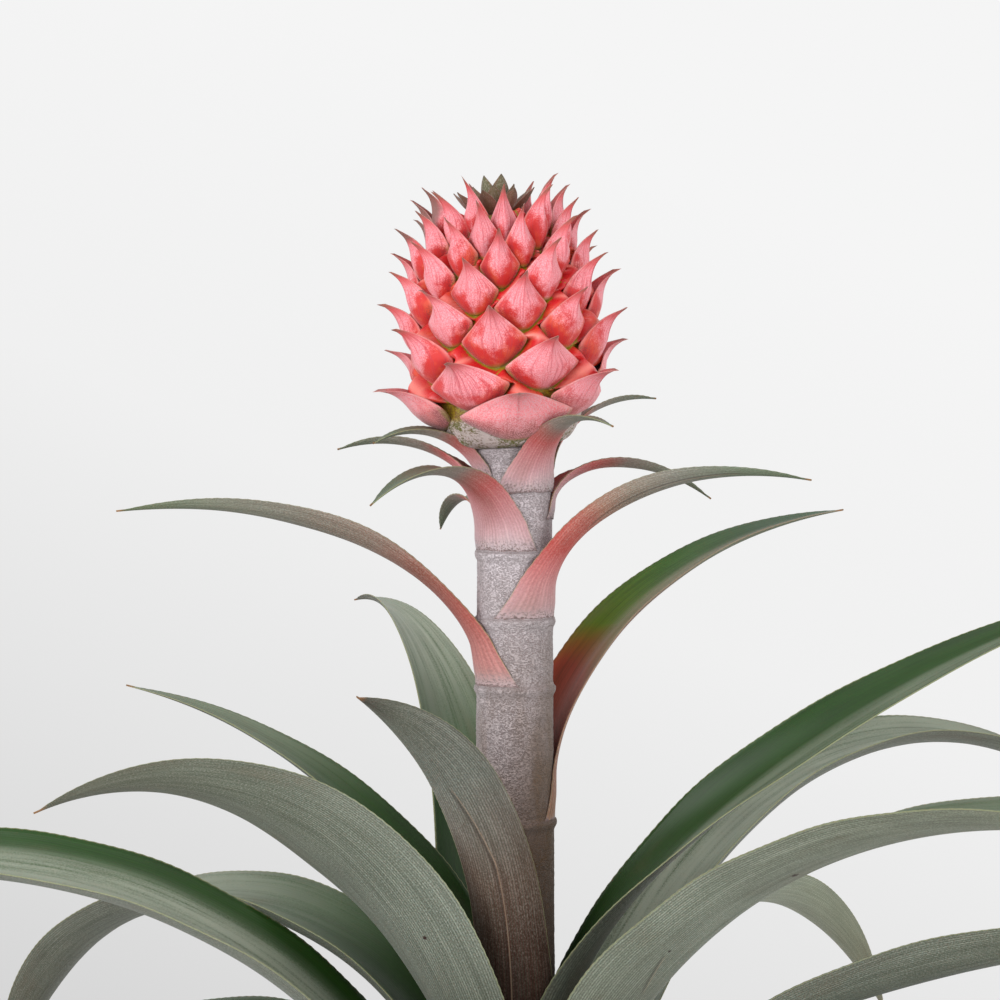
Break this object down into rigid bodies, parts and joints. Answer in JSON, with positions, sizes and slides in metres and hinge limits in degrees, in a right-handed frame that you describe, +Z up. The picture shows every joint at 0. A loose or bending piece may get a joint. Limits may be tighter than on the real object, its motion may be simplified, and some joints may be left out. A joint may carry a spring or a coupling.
{
  "type": "potted ornamental pineapple plant",
  "caption": "Potted ornamental pineapple: a pink fruit head with a dark crown tuft on a tall leafy stalk, above a rosette of arching channelled leaves in a plain tapered pot.",
  "frame": {"origin": "centre of the pot's foot, on the surface that the pot stands on", "axes": "+Z up along the stalk. The picture was taken from -Y, level with the plant, and +X is to the right in it"},
  "size_m": [0.4231, 0.3683, 0.3687],
  "materials": {
    "pot": "matte moulded plastic, terracotta-coloured",
    "soil": "moist crumbly peaty potting soil",
    "stalk": "mealy grey-brown stalk skin",
    "stalk_leaf": "scurfy leaf, red-brown at the foot and grey-green at the tip",
    "leaf": "scurfy grey-green leaf, smoother and deeper green inside the channel",
    "fruit": "pink keeled bracts, glossy red where they meet",
    "crown": "dark grey-green scurfy leaflets"
  },
  "bodies": {
    "root": {"pot": "pot", "soil": "soil", "stalk": "stalk", "stalk_leaf_01": "stalk_leaf", "stalk_leaf_02": "stalk_leaf", "stalk_leaf_03": "stalk_leaf", "stalk_leaf_04": "stalk_leaf", "stalk_leaf_05": "stalk_leaf", "stalk_leaf_06": "stalk_leaf", "stalk_leaf_07": "stalk_leaf", "stalk_leaf_08": "stalk_leaf", "stalk_leaf_09": "stalk_leaf", "stalk_leaf_10": "stalk_leaf", "leaf_01": "leaf", "leaf_02": "leaf", "leaf_03": "leaf", "leaf_04": "leaf", "leaf_05": "leaf", "leaf_06": "leaf", "leaf_07": "leaf", "leaf_08": "leaf", "leaf_09": "leaf", "leaf_10": "leaf", "leaf_11": "leaf", "leaf_12": "leaf", "leaf_13": "leaf", "leaf_14": "leaf", "leaf_15": "leaf", "leaf_16": "leaf", "leaf_17": "leaf", "leaf_18": "leaf", "leaf_19": "leaf", "leaf_20": "leaf", "leaf_21": "leaf", "leaf_22": "leaf", "leaf_23": "leaf", "fruit": "fruit", "crown": "crown"}
  },
  "joints": []
}
